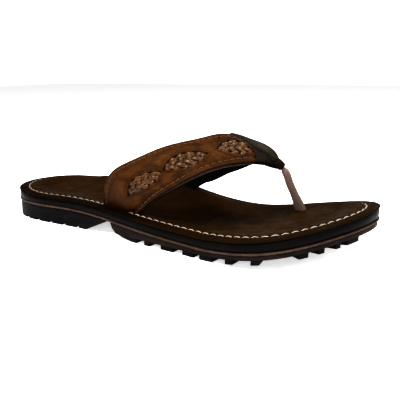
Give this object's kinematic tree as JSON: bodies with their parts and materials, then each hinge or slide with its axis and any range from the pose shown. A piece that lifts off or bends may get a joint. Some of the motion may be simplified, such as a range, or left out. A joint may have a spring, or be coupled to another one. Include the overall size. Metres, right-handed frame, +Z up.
{
  "type": "flip flop",
  "caption": "Thong sandal with padded plaited leather straps, a toe post, a stitched leather footbed with arch support and a lugged rubber sole that bends at the ball.",
  "frame": {"origin": "middle of the sole's length and width, on the ground under the heel and ball", "axes": "+X to the toe, +Y to the inner (medial) side of this right-foot sandal, +Z up"},
  "size_m": [0.2848, 0.1032, 0.0717],
  "materials": {
    "outsole_rubber": "matt, dark brown to black",
    "lug_rubber": "matt black",
    "welt": "smooth tan strip",
    "midsole_foam": "satin black foam",
    "cushion_foam": "open grey foam",
    "footbed_leather": "dark brown, smooth, lightly burnished",
    "cream_thread": "waxed thread",
    "strap_leather": "cognac, polished, fine grain",
    "strap_padding": "felted foam",
    "strap_lining": "black napped lining",
    "braid_leather": "light brown laces",
    "strap_thread": "brown thread",
    "yoke_leather": "dark olive brown, smooth",
    "post_webbing": "tight grey-brown weave",
    "post_core": "moulded"
  },
  "bodies": {
    "rear_sole": {"heel_outsole": "outsole_rubber", "forefoot_outsole_rear": "outsole_rubber", "forefoot_lugs_rear": "lug_rubber", "welt_strip_rear": "welt", "midsole_rear": "midsole_foam", "footbed_foam_rear": "cushion_foam", "footbed_leather_rear": "footbed_leather", "footbed_stitching_rear": "cream_thread", "lateral_strap_tail": "strap_lining", "medial_strap_tail": "strap_lining"},
    "forefoot": {"forefoot_outsole_front": "outsole_rubber", "forefoot_lugs_front": "lug_rubber", "welt_strip_front": "welt", "midsole_front": "midsole_foam", "footbed_foam_front": "cushion_foam", "footbed_leather_front": "footbed_leather", "footbed_stitching_front": "cream_thread", "toe_post_tail": "post_webbing", "toe_post_anchor": "post_core"},
    "straps": {"lateral_strap_leather": "strap_leather", "lateral_strap_padding": "strap_padding", "lateral_strap_lining": "strap_lining", "lateral_strap_braids": "braid_leather", "lateral_strap_stitching": "strap_thread", "medial_strap_leather": "strap_leather", "medial_strap_padding": "strap_padding", "medial_strap_lining": "strap_lining", "medial_strap_braids": "braid_leather", "medial_strap_stitching": "strap_thread", "lateral_yoke": "yoke_leather", "medial_yoke": "yoke_leather", "toe_post_wrap": "yoke_leather"},
    "toe_post": {"toe_post_webbing": "post_webbing", "toe_post_core": "post_core"}
  },
  "joints": [
    {"name": "toe_flex", "type": "hinge", "parent": "rear_sole", "child": "forefoot", "pos_m": [0.0485, 0, 0.0162], "axis": [0, -1, 0], "range_deg": [0, 30], "stiffness_Nm_per_rad": 1.5},
    {"name": "strap_lift", "type": "hinge", "parent": "rear_sole", "child": "straps", "pos_m": [-0.025, 0, 0.024], "axis": [0, -1, 0], "range_deg": [0, 11.5]},
    {"name": "post_lean", "type": "hinge", "parent": "forefoot", "child": "toe_post", "pos_m": [0.088, 0.02856, 0.02122], "axis": [0, -1, 0], "range_deg": [-32.5, 0]}
  ],
  "couplings": [
    {"joint": "strap_lift", "follows": "toe_flex", "ratio": 0.366},
    {"joint": "post_lean", "follows": "toe_flex", "ratio": -1.05}
  ]
}
